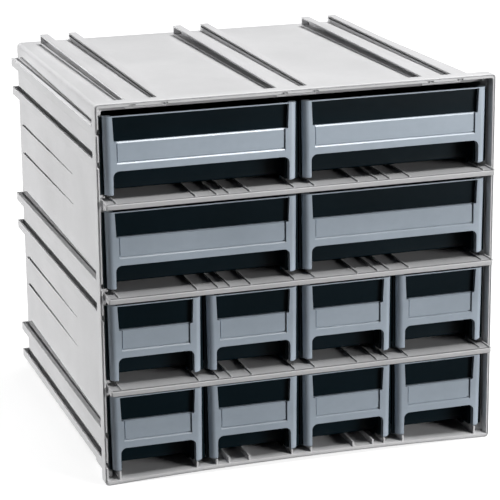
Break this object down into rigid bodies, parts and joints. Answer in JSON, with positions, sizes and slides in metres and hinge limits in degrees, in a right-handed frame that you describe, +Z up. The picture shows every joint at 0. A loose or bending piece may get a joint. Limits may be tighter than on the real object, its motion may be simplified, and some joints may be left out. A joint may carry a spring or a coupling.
{
  "type": "parts bin cabinet",
  "caption": "Stackable moulded plastic parts cabinet with coupling rails, slide-in shelves and pull-out drawers: dark trays with light front frames.",
  "frame": {"origin": "centre of the bounding box in plan, at the underside that the cabinet stands on", "axes": "+Z up, -Y is the open front where the drawers pull out, +X to the right seen from the front"},
  "size_m": [0.2986, 0.299, 0.2794],
  "materials": {
    "shell_plastic": "light grey moulded polystyrene, fine satin grain",
    "shelf_plastic": "light grey moulded polystyrene, satin",
    "front_plastic": "blue-grey moulded polystyrene, satin",
    "tray_plastic": "smoked, nearly black moulded polystyrene, half gloss"
  },
  "bodies": {
    "cabinet": {"cabinet_shell": "shell_plastic", "shelf_1": "shelf_plastic", "shelf_2": "shelf_plastic", "shelf_3": "shelf_plastic"},
    "drawer_body_r1c1": {"tray_r1c1": "tray_plastic", "front_r1c1": "front_plastic"},
    "drawer_body_r1c2": {"tray_r1c2": "tray_plastic", "front_r1c2": "front_plastic"},
    "drawer_body_r2c1": {"tray_r2c1": "tray_plastic", "front_r2c1": "front_plastic"},
    "drawer_body_r2c2": {"tray_r2c2": "tray_plastic", "front_r2c2": "front_plastic"},
    "drawer_body_r3c1": {"tray_r3c1": "tray_plastic", "front_r3c1": "front_plastic"},
    "drawer_body_r3c2": {"tray_r3c2": "tray_plastic", "front_r3c2": "front_plastic"},
    "drawer_body_r3c3": {"tray_r3c3": "tray_plastic", "front_r3c3": "front_plastic"},
    "drawer_body_r3c4": {"tray_r3c4": "tray_plastic", "front_r3c4": "front_plastic"},
    "drawer_body_r4c1": {"tray_r4c1": "tray_plastic", "front_r4c1": "front_plastic"},
    "drawer_body_r4c2": {"tray_r4c2": "tray_plastic", "front_r4c2": "front_plastic"},
    "drawer_body_r4c3": {"tray_r4c3": "tray_plastic", "front_r4c3": "front_plastic"},
    "drawer_body_r4c4": {"tray_r4c4": "tray_plastic", "front_r4c4": "front_plastic"}
  },
  "joints": [
    {"name": "slide_r1c1", "type": "slide", "parent": "cabinet", "child": "drawer_body_r1c1", "axis": [0, -1, 0], "range_m": [0, 0.22]},
    {"name": "slide_r1c2", "type": "slide", "parent": "cabinet", "child": "drawer_body_r1c2", "axis": [0, -1, 0], "range_m": [0, 0.22]},
    {"name": "slide_r2c1", "type": "slide", "parent": "cabinet", "child": "drawer_body_r2c1", "axis": [0, -1, 0], "range_m": [0, 0.22]},
    {"name": "slide_r2c2", "type": "slide", "parent": "cabinet", "child": "drawer_body_r2c2", "axis": [0, -1, 0], "range_m": [0, 0.22]},
    {"name": "slide_r3c1", "type": "slide", "parent": "cabinet", "child": "drawer_body_r3c1", "axis": [0, -1, 0], "range_m": [0, 0.22]},
    {"name": "slide_r3c2", "type": "slide", "parent": "cabinet", "child": "drawer_body_r3c2", "axis": [0, -1, 0], "range_m": [0, 0.22]},
    {"name": "slide_r3c3", "type": "slide", "parent": "cabinet", "child": "drawer_body_r3c3", "axis": [0, -1, 0], "range_m": [0, 0.22]},
    {"name": "slide_r3c4", "type": "slide", "parent": "cabinet", "child": "drawer_body_r3c4", "axis": [0, -1, 0], "range_m": [0, 0.22]},
    {"name": "slide_r4c1", "type": "slide", "parent": "cabinet", "child": "drawer_body_r4c1", "axis": [0, -1, 0], "range_m": [0, 0.22]},
    {"name": "slide_r4c2", "type": "slide", "parent": "cabinet", "child": "drawer_body_r4c2", "axis": [0, -1, 0], "range_m": [0, 0.22]},
    {"name": "slide_r4c3", "type": "slide", "parent": "cabinet", "child": "drawer_body_r4c3", "axis": [0, -1, 0], "range_m": [0, 0.22]},
    {"name": "slide_r4c4", "type": "slide", "parent": "cabinet", "child": "drawer_body_r4c4", "axis": [0, -1, 0], "range_m": [0, 0.22]}
  ]
}
